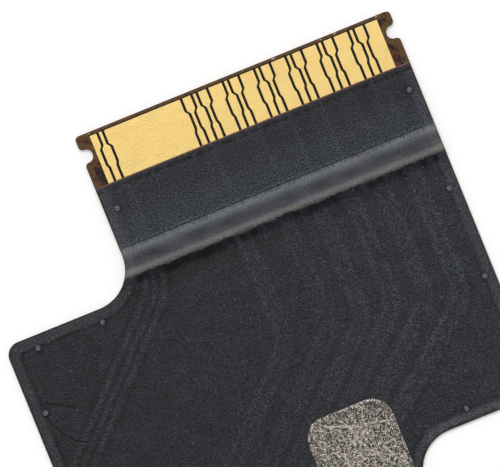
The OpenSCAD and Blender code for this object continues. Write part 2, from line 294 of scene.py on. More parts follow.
class Look:
    """A material, with short calls for the nodes that the finishes share."""

    def __init__(self, name):
        self.material = bpy.data.materials.new(name)
        self.material.use_nodes = True
        self.tree = self.material.node_tree
        self.shader = self.tree.nodes["Principled BSDF"]
        self.place = self.tree.nodes.new("ShaderNodeTexCoord").outputs["Object"]

    def new(self, kind, **settings):
        node = self.tree.nodes.new(kind)
        for key, value in settings.items():
            setattr(node, key, value)
        return node

    def feed(self, socket, value):
        if isinstance(value, bpy.types.NodeSocket):
            self.tree.links.new(value, socket)
        else:
            socket.default_value = value

    def math(self, operation, *values, clamp=False):
        node = self.new("ShaderNodeMath", operation=operation, use_clamp=clamp)
        for socket, value in zip(node.inputs, values):
            self.feed(socket, value)
        return node.outputs[0]

    def mapped(self, size, stretch=(1, 1, 1), offset=0.0, turn=0.0):
        """The place on the object, with a size in millimetres as its unit."""
        node = self.new("ShaderNodeMapping")
        self.feed(node.inputs["Vector"], self.place)
        node.inputs["Scale"].default_value = [1 / (size * MM * s) for s in stretch]
        node.inputs["Location"].default_value = (offset, offset, offset)
        node.inputs["Rotation"].default_value = (0, 0, turn)
        return node.outputs[0]

    def noise(self, size, detail=2.0, roughness=0.5, stretch=(1, 1, 1), offset=0.0):
        """Noise from 0 to 1 whose cells are about a size across, in millimetres."""
        node = self.new("ShaderNodeTexNoise")
        self.feed(node.inputs["Vector"], self.mapped(size, stretch, offset))
        node.inputs["Scale"].default_value = 1.0
        node.inputs["Detail"].default_value = detail
        node.inputs["Roughness"].default_value = roughness
        return node.outputs["Fac"]

    def cells(self, spacing, scatter=1.0, turn=0.0):
        """Colour and distance of scattered cells in plan, a spacing in millimetres apart."""
        node = self.new("ShaderNodeTexVoronoi", voronoi_dimensions="2D")
        self.feed(node.inputs["Vector"], self.mapped(spacing, turn=turn))
        node.inputs["Scale"].default_value = 1.0
        node.inputs["Randomness"].default_value = scatter
        return node.outputs["Color"], node.outputs["Distance"]

    def dots(self, spacing, radius, share):
        """Scattered round dots in plan: a radius in millimetres, in a share of the cells."""
        colour, distance = self.cells(spacing)
        parts = self.new("ShaderNodeSeparateColor")
        self.feed(parts.inputs[0], colour)
        near = self.math("LESS_THAN", distance, radius / spacing)
        return self.math("MULTIPLY", near, self.math("GREATER_THAN", parts.outputs[0], 1 - share))

    def spread(self, value, low, high, to_low=0.0, to_high=1.0):
        """A value from low to high, brought to another range and kept inside it."""
        node = self.new("ShaderNodeMapRange")
        for socket, number in zip(node.inputs, (value, low, high, to_low, to_high)):
            self.feed(socket, number)
        return node.outputs[0]

    def mix(self, factor, a, b):
        """Colour a turned to b by a factor."""
        node = self.new("ShaderNodeMix", data_type="RGBA")
        for key, value in (("Factor_Float", factor), ("A_Color", a), ("B_Color", b)):
            self.feed(next(s for s in node.inputs if s.identifier == key), value)
        return next(s for s in node.outputs if s.identifier == "Result_Color")

    def attribute(self, name):
        return self.new("ShaderNodeAttribute", attribute_name=name).outputs["Fac"]

    def bump(self, height, rise, normal=None):
        """Normal of a fine relief whose height factor stands for a rise in millimetres."""
        node = self.new("ShaderNodeBump")
        node.inputs["Strength"].default_value = 1.0
        node.inputs["Distance"].default_value = rise * MM
        self.feed(node.inputs["Height"], height)
        if normal is not None:
            self.feed(node.inputs["Normal"], normal)
        return node.outputs[0]

    def set(self, **values):
        for key, value in values.items():
            self.feed(self.shader.inputs[key.replace("_", " ")], value)
        return self.material


def rgb(red, green, blue):
    """Linear colour of a display colour from 0 to 255."""
    return tuple(
        c / 12.92 if c <= 0.04045 else ((c + 0.055) / 1.055) ** 2.4
        for c in (red / 255, green / 255, blue / 255)
    ) + (1.0,)


def shield_film_look():
    """Matte blue-black film with a fine pebbled grain, paler where its shade attribute paints light and
    where it is rubbed, darker where that attribute paints shade.
    """
    look = Look("shield_film")
    polish = look.attribute("polish")
    grain = look.spread(look.noise(0.05, 1.5, 0.6), 0.38, 0.78, 0.0, 3.4)
    calm = look.math("SUBTRACT", 1.0, look.math("MULTIPLY", polish, 0.8))
    grain = look.math("MULTIPLY_ADD", look.math("SUBTRACT", grain, 1.0), calm, 1.0)
    cloud = look.spread(look.noise(0.8, 3.0, 0.5, offset=3.0), 0.3, 0.7, 0.090, 0.116)
    # The shade attribute paints the light and shade of the film's relief into its colour, with some tone of
    # its own.
    level = look.math("MULTIPLY_ADD", look.attribute("shade"), 0.5, cloud)
    scuff = look.spread(look.noise(0.045, 2.0, 0.6, stretch=(1, 5, 1), offset=8.0), 0.4, 0.62, -0.3, 0.3)
    level = look.math("MULTIPLY_ADD", look.attribute("scuff"), scuff, level)
    pits = look.math("MULTIPLY", look.math("MULTIPLY", look.dots(0.85, 0.04, 0.4), 0.6), calm)
    grain = look.math("MULTIPLY", grain, look.math("SUBTRACT", 1.0, pits))
    level = look.math("MULTIPLY", level, grain, clamp=True)
    specks = look.dots(1.1, 0.022, 0.5)
    level = look.math("MAXIMUM", level, look.math("MULTIPLY", specks, 0.9))
    pale = look.mix(look.attribute("warm"), (0.118, 0.136, 0.182, 1), (0.20, 0.176, 0.128, 1))
    rough = look.spread(look.noise(0.12, 2.0, 0.5, offset=9.0), 0.3, 0.7, 0.32, 0.38)
    rough = look.math("SUBTRACT", rough, look.math("MULTIPLY", polish, 0.06))
    pebbles = look.math("MULTIPLY", look.noise(0.055, 2.0, 0.6, offset=5.0), calm)
    return look.set(
        Base_Color=look.mix(level, (0, 0, 0, 1), pale),
        Roughness=rough, Normal=look.bump(pebbles, 0.025), Specular_IOR_Level=0.25
    )


def gold_look():
    """Satin gold plating: warm, nearly even, with faint clouds and a fine matte grain."""
    look = Look("gold_plating")
    cloud = look.noise(0.9, 3.0, 0.55)
    colour = look.mix(look.spread(cloud, 0.3, 0.7), (0.70, 0.49, 0.155, 1), (0.76, 0.54, 0.18, 1))
    speck = look.spread(look.noise(0.05, 2.0, 0.6, offset=6.0), 0.3, 0.7)
    colour = look.mix(look.math("MULTIPLY", speck, 0.3), colour, (0.96, 0.76, 0.42, 1))
    rough = look.spread(look.noise(0.2, 2.0, 0.5, offset=4.0), 0.3, 0.7, 0.34, 0.42)
    normal = look.bump(look.noise(0.06, 3.0, 0.6, offset=2.0), 0.004)
    return look.set(Base_Color=colour, Metallic=1.0, Roughness=rough, Normal=normal)


def copper_look():
    """Bare copper under the films, dulled in patches."""
    look = Look("bare_copper")
    dull = look.spread(look.noise(0.4, 4.0, 0.6), 0.35, 0.7)
    colour = look.mix(dull, (0.62, 0.28, 0.14, 1), (0.40, 0.17, 0.09, 1))
    return look.set(Base_Color=colour, Metallic=1.0, Roughness=look.spread(dull, 0, 1, 0.3, 0.5))


NOTCH_AT = 0.77                       # depth of the lock notch's middle
NOTCH_IN = 0.15                       # its middle's distance from the neck's side
NOTCH_R = 0.24
PLANE_EDGE = (0.19, 0.24)             # inset of the copper plane's edge, which shows through softly
GOLD_SIDE = 0.5                       # the contacts start this far from the neck's side
TIP_STRIP = 0.105                     # bare strip before the contacts
CHIPS_TO = 0.085                      # depth of the pale chips at the tip


def polyimide_look():
    """Amber-brown base film, darker over the copper plane behind it, with painted shade in the gaps between
    the fingers.
    """
    look = Look("polyimide_base")
    parts = look.new("ShaderNodeSeparateXYZ")
    look.feed(parts.inputs[0], look.place)
    x = look.math("MULTIPLY", parts.outputs[0], 1 / MM)
    y = look.math("MULTIPLY", parts.outputs[1], 1 / MM)
    tip = look.math("SUBTRACT", HALF_L, look.math("ABSOLUTE", y))
    middle = look.math("MULTIPLY", look.math("SIGN", y), NECK_X)
    side = look.math("SUBTRACT", NECK_W / 2, look.math("ABSOLUTE", look.math("SUBTRACT", x, middle)))
    past_notch = look.math("MAXIMUM", look.math("SUBTRACT", side, NOTCH_IN), 0.0)
    along = look.math("SUBTRACT", tip, NOTCH_AT)
    square = look.math("ADD", look.math("POWER", past_notch, 2.0), look.math("POWER", along, 2.0))
    notch = look.math("SUBTRACT", look.math("SQRT", square), NOTCH_R)
    edge = look.math("MINIMUM", look.math("MINIMUM", side, notch), look.math("ADD", tip, 0.02))
    wobble = look.math("MULTIPLY", look.math("SUBTRACT", look.noise(0.25, 3.0, 0.6), 0.5), 0.08)
    inner = look.spread(look.math("ADD", edge, wobble), *PLANE_EDGE)
    gaps = look.math("GREATER_THAN", side, GOLD_SIDE)
    rusty = look.spread(look.noise(0.13, 3.0, 0.65, offset=6.0), 0.46, 0.66)
    outer_colour = look.mix(rusty, (0.112, 0.054, 0.013, 1), (0.040, 0.018, 0.005, 1))
    inner_colour = look.mix(rusty, (0.007, 0.003, 0.002, 1), (0.135, 0.042, 0.014, 1))
    colour = look.mix(inner, outer_colour, inner_colour)
    # Painted shade: near-black in the gaps between the fingers, behind the tip strip.
    far = look.math("GREATER_THAN", look.math("ADD", tip, wobble), TIP_STRIP)
    colour = look.mix(look.math("MULTIPLY", gaps, far), colour, (0.004, 0.001, 0.001, 1))
    chip = look.math("GREATER_THAN", look.noise(0.22, 2.0, 0.5, offset=15.0), 0.66)
    chip = look.math("MULTIPLY", chip, look.math("LESS_THAN", tip, CHIPS_TO))
    colour = look.mix(chip, colour, (0.34, 0.28, 0.20, 1))
    normal = look.bump(look.noise(0.05, 2.0, 0.5, offset=2.0), 0.002)
    return look.set(Base_Color=colour, Roughness=0.42, Normal=normal, Specular_IOR_Level=0.22)


def coverlay_look():
    """Coverlay film, seen as a pinkish-brown lip and along the cut edges."""
    look = Look("coverlay")
    patch = look.noise(0.12, 3.0, 0.6)
    colour = look.mix(look.spread(patch, 0.35, 0.65), rgb(132, 86, 66), rgb(84, 56, 46))
    return look.set(Base_Color=colour, Roughness=0.5, Specular_IOR_Level=0.4)


def stiffener_look():
    """Amber polyimide stiffener with a satin face, faint clouds and a few rubbed specks."""
    look = Look("stiffener")
    cloud = look.spread(look.noise(0.7, 4.0, 0.55, offset=7.0), 0.3, 0.7)
    colour = look.mix(cloud, rgb(126, 80, 31), rgb(112, 69, 25))
    colour = look.mix(look.dots(0.7, 0.03, 0.35), colour, rgb(150, 104, 52))
    rough = look.spread(look.noise(0.2, 3.0, 0.5, stretch=(1, 3, 1)), 0.3, 0.7, 0.3, 0.4)
    normal = look.bump(look.noise(0.06, 2.0, 0.5, offset=2.0), 0.001)
    return look.set(Base_Color=colour, Roughness=rough, Normal=normal)


HOLE_SPACING = 0.19
HOLE_TURN = math.radians(22)
HOLE_SCATTER = 0.8


def fibre_look(name, light, dark):
    """Metal-coated fibre, speckled pale and dark at random, with painted shade in the felt's needle holes.
    The long strands keep some painted shine across the holes."""
    look = Look(name)
    patch = look.spread(look.noise(0.038, 1.0, 0.5), 0.48, 0.53)
    # Painted shade in the felt's needle holes.
    holes = look.cells(HOLE_SPACING, HOLE_SCATTER, HOLE_TURN)[1]
    patch = look.math("MULTIPLY", patch, look.spread(holes, 0.12, 0.42, 0.22, 1.0))
    strand = look.spread(look.noise(0.16, 1.0, 0.5, offset=11.0), 0.42, 0.56, 0.1, 0.55)
    # Long strands are painted paler in places, a painted shine that crosses the holes.
    patch = look.math("MAXIMUM", patch, look.math("MULTIPLY", look.attribute("bright"), strand))
    return look.set(Base_Color=look.mix(patch, dark, light), Metallic=0.6, Roughness=0.35)


# ---------------------------------------------------------------- front shielding film


FILM_INSET = 0.018                    # sliver of coverlay left bare round the film
BAND_TOP = BAND_START - 0.18          # depths between which the film has the band's dense rows
BAND_END = STIFFENER_L + DESCENT_L

# How far apart the mesh's points are
GRID_STEP = 0.1                       # on plain film
EDGE_STEP = 0.066                     # along the outline
LINE_STEP = 0.09                      # along traces, streaks and the groove
MARK_STEP = 0.04                      # along the scratch and the wrinkle
UNDER_STEP = 1.2                      # on the underside
BAND_GRID = 0.06                      # along a dense row
BAND_STEP = 0.036                     # from row to row on the band
CREASE_STEP = 0.02                    # from row to row at the crease
GOLD_STEP = 0.03                      # from row to row beside the gold
CREASE_ROWS = 0.12                    # reach of the crease's rows, before and after it
GOLD_ROWS = FILM_DEPTH + 0.32         # depth at which the rows beside the gold end
GROOVE_SIDES = (-0.1, -0.05, 0, 0.05, 0.1)
STREAK_SIDES = (-0.06, -0.03, 0, 0.03, 0.06)
MARK_SIDES = (-0.06, -0.035, -0.015, 0, 0.015, 0.035, 0.06)
TRACE_SIDES = np.arange(-0.49, 0.5, 0.07)
LEFT_SIDES = np.arange(-0.6, 0.61, 0.05)
TRACE_CLEAR = 0.52                    # a group's own points take the plain grid's place this near
VIA_CLEAR = 0.17
ROSETTE_R = 0.15
ROSETTE_RINGS = 6
ROSETTE_SPOKES = 16

# A shade paints light and shade into the film's colour, with some tone of its own: a shade of 1 makes the
# film paler by about 6 % of full white. Soft lines are (place, width, strength).

# Groups of narrow conductors, told by distance from a group's middle
RIGHT_RIDGES = ((0.22, 0.075, 1.0),)
RIGHT_HOLLOWS = ((0.43, 0.075, 1.0),)
LEFT_RIDGES = ((0.33, 0.08, 1.0), (0, 0.06, 0.35))
LEFT_HOLLOWS = ((0.15, 0.06, 3.0), (0.53, 0.07, 1.8))
GROUP_REACH = 0.32                    # how far a group shades the film over it
RAISED_REACH = 0.25                   # a right group raises the film this far from its middle
RAISED_SOFT = 0.15
TRACE_H = 0.006
TRACE_IN_TAB = 0.45                   # share of a group's relief that shows on the stiffened tab
# Ridges are painted paler as highlights and hollows darker as shade; the film over a group is painted a
# little paler.
RIDGE_SHADE = 0.12
OVER_SHADE = 0.05
HOLLOW_SHADE = 0.05
FUZZ = 0.15
ROOT_AT = 0.3                         # dark lines at both sides of a group, fading from the gold
ROOT_W = 0.05
ROOT_SHADE = 0.10
ROOT_END = FILM_DEPTH + 0.5

# The border outside the pressed groove
GROOVE_AT = 0.46
GROOVE_W = 0.05
GROOVE_DEPTH = 0.006
# The groove is painted darker as shade.
GROOVE_SHADE = 0.22
BORDER_W = 0.36
BORDER_SHADE = 0.22
BORDER_RIM = 0.06                     # the border's outermost part, which is less pale
LIT_SHADE = 0.27                      # added where the border behind the pad faces the lamp
LIT_FROM = np.array([PAD_HIGH[0] + 0.6, LOWER_SHOULDER + 1])

# Scratch and wrinkle in the left shoulder
SCRATCH = np.array([(-7.96, 2.62), (-7.12, 2.13)])
WRINKLE = np.array([(-8.1, 2.2), (-7.98, 1.75), (-7.72, 1.3), (-7.45, 0.98), (-7.1, 0.8)])
MARKS = ((SCRATCH, 0.007), (WRINKLE, 0.012))            # path and depth
MARK_W = 0.028
# Each mark is painted dark as shade along its line.
MARK_SHADE = 0.4
LIT_SIDE = np.array([0.08, -0.08])    # way to the side of a mark that catches the light
LIT_SIDE_W = 0.05
LIT_SIDE_SHADE = 0.12

# Bumps over the vias
BUMP_R = 0.13
BUMP_H = 0.02
BALL_R = (BUMP_R ** 2 + BUMP_H ** 2) / (2 * BUMP_H)
RING_R = 0.05                         # a via's rim stands round its plated hole
RING_W = 0.028
RING_H = 0.012
# The rim is painted pale as a highlight.
RING_SHADE = 2.2
FOOT_R = 0.14                         # painted shade: darker foot round the bump
FOOT_W = 0.04
FOOT_SHADE = 0.14

# The band where the film climbs onto the stiffener, told by depth
CREASE_AT = BAND_START - 0.04         # sharp line where the flex starts to climb onto the rear film
CREASE_W = 0.013
CREASE_DEPTH = 0.008
# The crease line is painted dark as shade.
CREASE_SHADE = 0.45
CREASE_CLEAR = 0.16                   # the line stops this far from both edges
# The band is painted paler as light on its slope, which faces the lamp.
BAND_SHADE = 0.40
BAND_CLOUD = 0.07
SLOPE_SHADE = 0.35                    # painted light, brightest on the slope behind the crease
SLOPE_W = 0.33
# painted highlight just behind the crease
LIP = (CREASE_AT + 0.06, 0.03, 0.35)
CLIMBED = (BAND_START + CLIMB_L, 0.11, 0.6)       # painted highlight at the end of the climb onto the rear film
CREST_AT = STIFFENER_L - 0.16         # rubbed crest over the stiffener's edge, browner, with painted light on it
CREST_W = 0.34
CREST_SHADE = 0.14
# The rise up to the crest is painted paler as a highlight.
RISE_AT = STIFFENER_L - 0.36
RISE_W = 0.24
RISE_SHADE = 0.3
CREST_LINE = (STIFFENER_L - 0.07, 0.06, 0.15)     # painted highlight: thin bright line where the crest breaks off
DROP_AT = STIFFENER_L + 0.06          # painted shadow: the dark drop behind the crest
DROP_END = STIFFENER_L + 0.32
DROP_SHADE = 0.13
DROP_UNEVEN = 0.08
DROP_UNDER_TRACES = 0.12              # how much earlier the drop's shade ends over the traces
FOOT_LINE = (BAND_END - 0.03, 0.22, -0.09)        # painted shade: dark foot where the film meets the body
SCUFF_AT = CREASE_AT + 0.09           # streaks across the crease's lip
SCUFF_W = 0.08
SCUFF_ON_CREST = 0.35

# The stiffened tabs beside the gold
TAB_SHADE = 0.18                      # the tab grows paler towards the crease
TAB_PALER = (3.2, 1.2)                # depth at which it does so, and over how much
BRINK_SHADE = 0.35                    # and once more just before it
BRINK_AT = CREASE_AT - 0.09
BRINK_W = 0.14
DASHES_AT = FILM_DEPTH + 0.17         # row of dark dashes in the film's end beside the gold
DASHES_W = 0.05
DASHES_SHADE = 0.45
BEHIND_DASHES = (FILM_DEPTH + 0.32, 0.08, 0.05)
# Painted highlights: faint pale lines along the tabs, over the edges of some conductors
STREAKS = [NECK_X + (k - POSITIONS / 2) * PITCH for k in (2.45, 13.1, 19.1, 23, 27, 31, 35)]
STREAK_W = 0.035
STREAK_SHADE = 0.14


def resampled(path, step):
    """Points about a step apart along a path, and the sideways direction at each."""
    run = np.concatenate([[0], np.hypot(*np.diff(path, axis=0).T).cumsum()])
    at = np.linspace(0, run[-1], max(3, round(run[-1] / step)))
    points = np.column_stack([np.interp(at, run, values) for values in path.T])
    ahead = np.gradient(points, axis=0)
    return points, np.column_stack([-ahead[:, 1], ahead[:, 0]]) / np.hypot(*ahead.T)[:, None]


def ribbon(path, step, sides):
    """Rows of points along both sides of a path."""
    middle, across = resampled(path, step)
    return np.concatenate([middle + across * side for side in sides])


def grid(xs, ys):
    return np.stack(np.meshgrid(xs, ys), -1).reshape(-1, 2)


def within(points, outline, clearance):
    """The points that lie inside an outline and clear of its edge."""
    points = points[inside(points, outline)]
    return points[distance_to(points, outline, closed=True) > clearance]


def clear_of(points, paths, clearance):
    """The points that lie clear of all the paths."""
    for path in paths:
        points = points[distance_to(points, path) > clearance]
    return points


def rosette(centre):
    """Points on rings round a via."""
    points = [centre]
    for i in range(1, ROSETTE_RINGS + 1):
        turn = np.arange(ROSETTE_SPOKES) * 2 * math.pi / ROSETTE_SPOKES + i % 2 * math.pi / ROSETTE_SPOKES
        ring = np.column_stack([np.cos(turn), np.sin(turn)])
        points += list(centre + ROSETTE_R * i / ROSETTE_RINGS * ring)
    return np.array(points)


def ripple(points, size, seed):
    """Smooth random field of about unit height whose waves are about a size long."""
    random = np.random.default_rng(seed)
    total = np.zeros(len(points))
    waves = 14
    for _ in range(waves):
        turn, phase = random.uniform(0, 2 * math.pi, 2)
        pace = 2 * math.pi / size * random.uniform(0.6, 1.6)
        total += np.sin(pace * (points @ (math.cos(turn), math.sin(turn))) + phase)
    return total / math.sqrt(waves / 2)


def dip(distance, width):
    """1 at no distance, falling smoothly to 0 over about two widths."""
    return np.exp(-(distance / width) ** 2)


def step_at(value, at, width):
    """0 below a place and 1 above it, eased over a width."""
    return eased((value - at) / width + 0.5)


def soft_lines(value, lines):
    """Sum of soft lines (place, width, strength)."""
    return sum(strength * dip(value - at, width) for at, width, strength in lines)


def trace_relief(points, d):
    """Height of the conductors that press through the film, with painted highlights on their ridges and
    painted shade in their hollows, and how near each point is to a group's middle."""
    shown = TRACE_IN_TAB * (1 - step_at(d, BAND_START - 0.1, 0.15)) + step_at(d, STIFFENER_L + 0.3, 0.3)
    near_gold = 1 - step_at(d, ROOT_END, 0.8)
    ridges, hollows, over, raised, shade = np.zeros((5, len(points)))
    for k, strength in GROUPS.items():
        left = k <= LAST_LEFT_LINE
        away = distance_to(points, trace_route(k))
        ridge = soft_lines(away, LEFT_RIDGES if left else RIGHT_RIDGES)
        hollow = soft_lines(away, LEFT_HOLLOWS if left else RIGHT_HOLLOWS)
        top = ridge if left else 1 - step_at(away, RAISED_REACH, RAISED_SOFT)
        ridges = np.maximum(ridges, strength * ridge)
        hollows = np.maximum(hollows, strength * hollow)
        over = np.maximum(over, strength * dip(away, GROUP_REACH))
        raised = np.maximum(raised, strength * top)
        shade -= ROOT_SHADE * strength * near_gold * dip(away - ROOT_AT, ROOT_W)
    fuzz = 1 + FUZZ * ripple(points, 0.5, 16)
    # Painted highlights on the ridges and painted shade in the hollows.
    shade += shown * fuzz * (RIDGE_SHADE * ridges + OVER_SHADE * over - HOLLOW_SHADE * hollows)
    return TRACE_H * shown * raised, shade, over


def edge_relief(points, d, edge):
    """Height and shade of the border and its groove, with how far each point is in the border, and in its
    part that faces the lamp.
    The groove is painted darker as shade, and the part facing the lamp is painted paler."""
    x, y = points.T
    groove_strength = np.clip(0.75 + 0.5 * ripple(points, 1.1, 15), 0.15, 1.2)
    groove_strength *= 1 - 0.55 * step_at(x, HALF_W - 1, 0.4)
    groove = groove_strength * dip(edge - GROOVE_AT, GROOVE_W) * step_at(d, BAND_END - 0.1, 0.4)
    border = (1 - step_at(edge, BORDER_W, 0.12)) * (1 - 0.6 * step_at(-edge, -BORDER_RIM, 0.1))
    lit = step_at(LIT_FROM[1] - y, 0, 0.4) * step_at(x, LIT_FROM[0], 0.6)
    # Painted shade in the groove and painted light where the border faces the lamp.
    shade = (BORDER_SHADE + LIT_SHADE * lit) * border - GROOVE_SHADE * (1 - 0.7 * lit) * groove
    return -GROOVE_DEPTH * groove, shade, border, lit


def mark_relief(points):
    """Height of the scratch and the wrinkle, with painted shade along them and a painted highlight on their
    lit side.
    """
    height, shade = np.zeros((2, len(points)))
    for path, mark_depth in MARKS:
        line = dip(distance_to(points, path), MARK_W)
        height -= mark_depth * line
        beside = dip(distance_to(points, path + LIT_SIDE), LIT_SIDE_W)
        # Painted shade along each mark and a painted highlight on its lit side.
        shade += LIT_SIDE_SHADE * beside - MARK_SHADE * line
    return height, shade


def via_relief(points):
    """Height of the bumps over the vias, with a painted highlight on each rim and painted shade round its
    foot, and how near each point is to a rim.
    """
    height, shade, rims = np.zeros((3, len(points)))
    for via in VIAS:
        away = np.hypot(*(points - via).T)
        rim = dip(away - RING_R, RING_W)
        height += np.maximum(np.sqrt(np.maximum(BALL_R ** 2 - away ** 2, 0)) - BALL_R + BUMP_H, 0)
        height += RING_H * rim
        # Painted highlight on each rim and painted shade round the bump's foot.
        shade += RING_SHADE * rim - FOOT_SHADE * dip(away - FOOT_R, FOOT_W)
        rims += rim
    return height, shade, rims


def band_relief(points, d, edge, over):
    """Height of the band over the stiffener's edge and its shade, which is painted light and shade: paler
    on slopes facing the lamp, painted shadow in the drop, painted shade in the crease and foot. Also how
    far each point is in the band, on its crest and in the streaks across its crease."""
    across = points * (1, 0)
    wander = 0.012 * ripple(across, 1.3, 8) + 0.014 * ripple(across, 0.25, 9)
    cloud = ripple(points * (1, 2.5), 1.5, 10)
    band = step_at(d, CREASE_AT + 0.015, 0.02) * (1 - step_at(d + wander, STIFFENER_L + 0.02, 0.08))
    crest = band * step_at(d + 2 * wander, CREST_AT, CREST_W)
    slope = dip(np.maximum(d - BAND_START - 0.02, 0), SLOPE_W)
    rise = step_at(d + wander, RISE_AT, RISE_W) * (1 - step_at(d + wander, DROP_AT, 0.1))
    # Painted light: the band paler on its slopes, lip and rise, with a painted highlight line where the
    # crest breaks off.
    shade = band * (BAND_SHADE + SLOPE_SHADE * slope + BAND_CLOUD * cloud + soft_lines(d, [LIP]))
    shade += RISE_SHADE * rise - CREST_SHADE * crest
    shade += soft_lines(d, [CLIMBED, FOOT_LINE]) + soft_lines(d + wander, [CREST_LINE])

    # Painted shadow in the drop behind the crest.
    end = d + 2 * wander + DROP_UNDER_TRACES * over
    drop = step_at(d + wander, DROP_AT, 0.05) * (1 - step_at(end, DROP_END, 0.3))
    uneven = DROP_SHADE + DROP_UNEVEN * ripple(across, 0.5, 13)
    shade -= uneven * drop * step_at(edge, 0.3, 0.25)

    # Painted shade in the crease.
    crease = dip(d - CREASE_AT, CREASE_W) * step_at(edge, CREASE_CLEAR, 0.05)
    shade -= CREASE_SHADE * crease
    scuff = band * (dip(d - SCUFF_AT, SCUFF_W) + SCUFF_ON_CREST * crest)
    return -CREASE_DEPTH * crease, shade, band, crest, scuff


def tab_shade(points, d, tab):
    """Shade of the stiffened tabs, with the dashes beside the gold and the streaks, which are painted
    highlights.
    """
    x, y = points.T
    shade = tab * (TAB_SHADE * step_at(d, *TAB_PALER) + BRINK_SHADE * step_at(d, BRINK_AT, BRINK_W))
    dashes = np.maximum(0.7 + 0.9 * ripple(points * (1, 0), 0.3, 12), 0)
    shade += soft_lines(d, [BEHIND_DASHES]) - DASHES_SHADE * dashes * dip(d - DASHES_AT, DASHES_W)
    for streak in STREAKS:
        shade += STREAK_SHADE * tab * dip(x - np.where(y > 0, streak, streak - SIDE_SHIFT), STREAK_W)
    return shade


def front_relief(points):
    """Relief of the front film's top, and what its material reads: shade (paler or darker than plain film,
    mostly painted light and shade), warm (browner), polish (rubbed smooth) and scuff (streaked across the
    crease)."""
    d = depth(points[:, 1])
    edge = distance_to(points, cable_outline(0, HALF_L + 1, 0.2), closed=True)
    tab = 1 - step_at(d, CREASE_AT, 0.02)
    trace_h, trace_shade, over = trace_relief(points, d)
    edge_h, edge_shade, border, lit = edge_relief(points, d, edge)
    mark_h, mark_shade = mark_relief(points)
    via_h, via_shade, rims = via_relief(points)
    band_h, band_shade, band, crest, scuff = band_relief(points, d, edge, over)

    waves = 0.0009 * ripple(points, 1.6, 1) + 0.0006 * ripple(points, 0.6, 2)
    to_right = points[:, 0] / HALF_W
    plain = 0.014 * ripple(points, 1.1, 3) + (0.045 - 0.10 * tab) * to_right + 0.02 * tab - 0.015
    shade = plain + trace_shade + edge_shade + mark_shade + via_shade + band_shade
    return waves + trace_h + edge_h + mark_h + via_h + band_h, {
        "shade": shade + tab_shade(points, d, tab),
        "warm": np.clip((0.12 + 0.15 * lit) * border + 0.2 * band + 0.6 * crest + 0.3 * rims, 0, 1),
        "polish": np.clip(band + rims + 0.45 * border, 0, 1),
        "scuff": scuff,
    }


def film_points(outline):
    """Points of the film's top: a plain grid, with more along its lines, bands and bumps."""
    routes = [trace_route(k) for k in GROUPS]
    marks = [SCRATCH, WRINKLE]
    plain = grid(np.arange(-HALF_W, HALF_W, GRID_STEP), np.arange(-FILM_REACH, FILM_REACH, GRID_STEP))
    d = depth(plain[:, 1])
    on_tab = (d > GOLD_ROWS) & (d < BAND_TOP)
    plain = np.concatenate([plain[on_tab], clear_of(plain[d > BAND_END], routes, TRACE_CLEAR)])
    traces = np.concatenate([ribbon(routes[0], LINE_STEP, LEFT_SIDES)] + [
        ribbon(path, LINE_STEP, TRACE_SIDES) for path in routes[1:]
    ])
    traces = traces[depth(traces[:, 1]) > BAND_END]
    grooves = np.concatenate([cable_outline(GROOVE_AT - side, HALF_L, LINE_STEP) for side in GROOVE_SIDES])
    grooves = grooves[depth(grooves[:, 1]) > BAND_END]

    ends = np.array([FILM_REACH, HALF_L - BAND_TOP])
    streaks = np.concatenate([
        ribbon(np.column_stack([[x, x], side * ends]), LINE_STEP, STREAK_SIDES)
        for streak in STREAKS for side, x in ((1, streak), (-1, streak - SIDE_SHIFT))
    ])
    rows = HALF_L - np.concatenate([
        np.arange(FILM_DEPTH + 0.04, GOLD_ROWS, GOLD_STEP),
        np.arange(CREASE_AT - CREASE_ROWS, BAND_START + CREASE_ROWS, CREASE_STEP),
        np.arange(BAND_START + CREASE_ROWS + 0.01, BAND_END, BAND_STEP)
    ])
    band = grid(np.arange(-HALF_W, HALF_W, BAND_GRID), np.concatenate([rows, -rows]))
    points = np.concatenate([
        clear_of(plain, marks, MARK_SIDES[-1]),
        clear_of(traces, marks, MARK_SIDES[-1]),
        *(ribbon(path, MARK_STEP, MARK_SIDES) for path in marks),
        grooves, streaks, band
    ])
    points = within(points, outline, 0.4 * EDGE_STEP)
    for via in VIAS:
        points = points[np.hypot(*(points - via).T) > VIA_CLEAR]
    return np.concatenate([points] + [rosette(via) for via in VIAS])


def front_film(material):
    outline = cable_outline(FILM_INSET, FILM_REACH, EDGE_STEP)
    bands = HALF_L - np.arange(BAND_TOP, BAND_END, 4 * BAND_STEP)
    rows = np.concatenate([np.arange(-FILM_REACH, FILM_REACH, UNDER_STEP), bands, -bands])
    under_points = within(grid(np.arange(-HALF_W, HALF_W, UNDER_STEP), rows), outline, 0.02)

    def top(plan):
        relief, attributes = front_relief(plan)
        height = flex_under(depth(plan[:, 1])) + TOP_Z + relief
        return np.minimum(height, FILM_HIGH[2]), attributes

    def under(plan):
        return flex_under(depth(plan[:, 1])) + TOP_Z - SHIELD_T

    mesh = sheet_mesh("front_film", outline, film_points(outline), top, under, under_points)
    return place(mesh, "front_film", material, "shield_film", "front_shield_film")


# ---------------------------------------------------------------- ground pad


